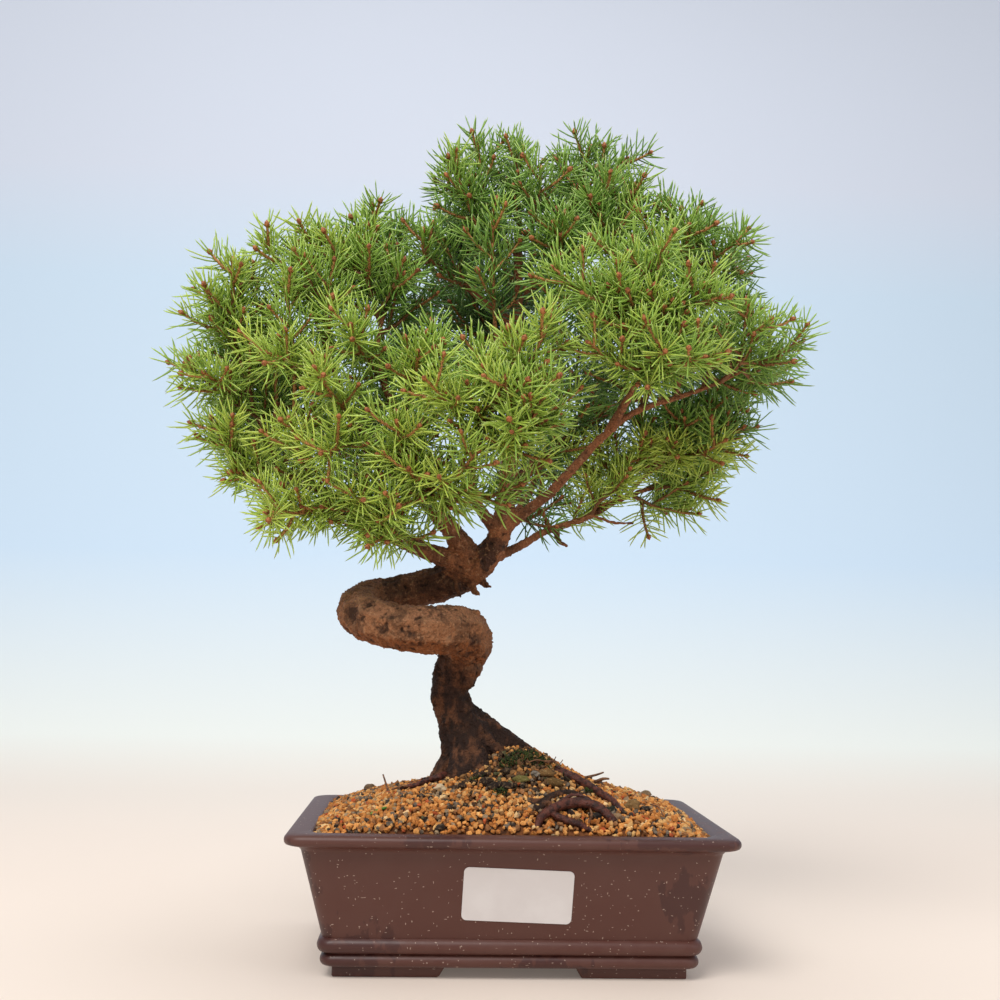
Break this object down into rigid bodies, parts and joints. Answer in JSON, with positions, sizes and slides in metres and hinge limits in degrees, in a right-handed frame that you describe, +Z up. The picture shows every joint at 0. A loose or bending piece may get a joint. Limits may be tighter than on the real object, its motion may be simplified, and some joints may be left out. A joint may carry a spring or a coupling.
{
  "type": "spruce bonsai",
  "caption": "Spruce bonsai with a corkscrew trunk and a needled crown, rooted in granular soil in a rectangular glazed pot with a blank front label.",
  "frame": {"origin": "middle of the whole part's box, on the surface the pot's feet stand on", "axes": "+Z up, +X along the pot's long side to the right of someone facing its label, +Y away from that person"},
  "size_m": [0.327, 0.2199, 0.4313],
  "materials": {
    "glazed_brown": "semi-gloss dark brown glaze with pale flecks",
    "granules": "matt orange-brown clay granules, 2 to 4 mm",
    "bark": "rough red-brown bark",
    "twigs": "orange-brown young twigs and red-brown buds",
    "needles": "waxy green needles with a soft sheen",
    "moss": "dark green moss",
    "label_paper": "smooth white paper sticker"
  },
  "bodies": {
    "root": {"label": "label_paper", "pot": "glazed_brown", "soil": "granules", "spray_back_left": "needles", "spray_back_left_high": "needles", "spray_back_left_tip": "needles", "spray_back_low": "needles", "spray_back_right": "needles", "spray_back_right_high": "needles", "spray_back_right_tip": "needles", "spray_back_top": "needles", "spray_back_top_right": "needles", "spray_front_middle": "needles", "spray_front_right": "needles", "spray_front_right_inner": "needles", "spray_front_right_low": "needles", "spray_front_right_tall": "needles", "spray_left_back": "needles", "spray_left_back_low": "needles", "spray_left_bright_inner": "needles", "spray_left_bright_low": "needles", "spray_left_bright_middle": "needles", "spray_left_front": "needles", "spray_left_high": "needles", "spray_left_high_inner": "needles", "spray_left_middle": "needles", "spray_left_tip_low": "needles", "spray_low_right_inner": "needles", "spray_low_right_long": "needles", "spray_low_right_tip": "needles", "spray_middle_bright": "needles", "spray_middle_bright_low": "needles", "spray_middle_front": "needles", "spray_middle_high_back": "needles", "spray_middle_high_left": "needles", "spray_middle_inner": "needles", "spray_middle_left": "needles", "spray_middle_low": "needles", "spray_middle_tall": "needles", "spray_right_high": "needles", "spray_right_middle": "needles", "spray_right_shoulder": "needles", "spray_right_shoulder_high": "needles", "spray_right_tip": "needles", "spray_right_tip_high": "needles", "spray_star": "needles", "spray_top_leader": "needles", "spray_top_left": "needles", "spray_top_left_front": "needles", "spray_top_right": "needles", "spray_top_right_front": "needles", "spray_top_right_tall": "needles", "spray_upper_front": "needles", "spray_upper_front_right": "needles", "spray_upper_left": "needles", "spray_upper_left_tip": "needles", "spray_upper_right_front": "needles", "trunk": "bark"}
  },
  "joints": []
}
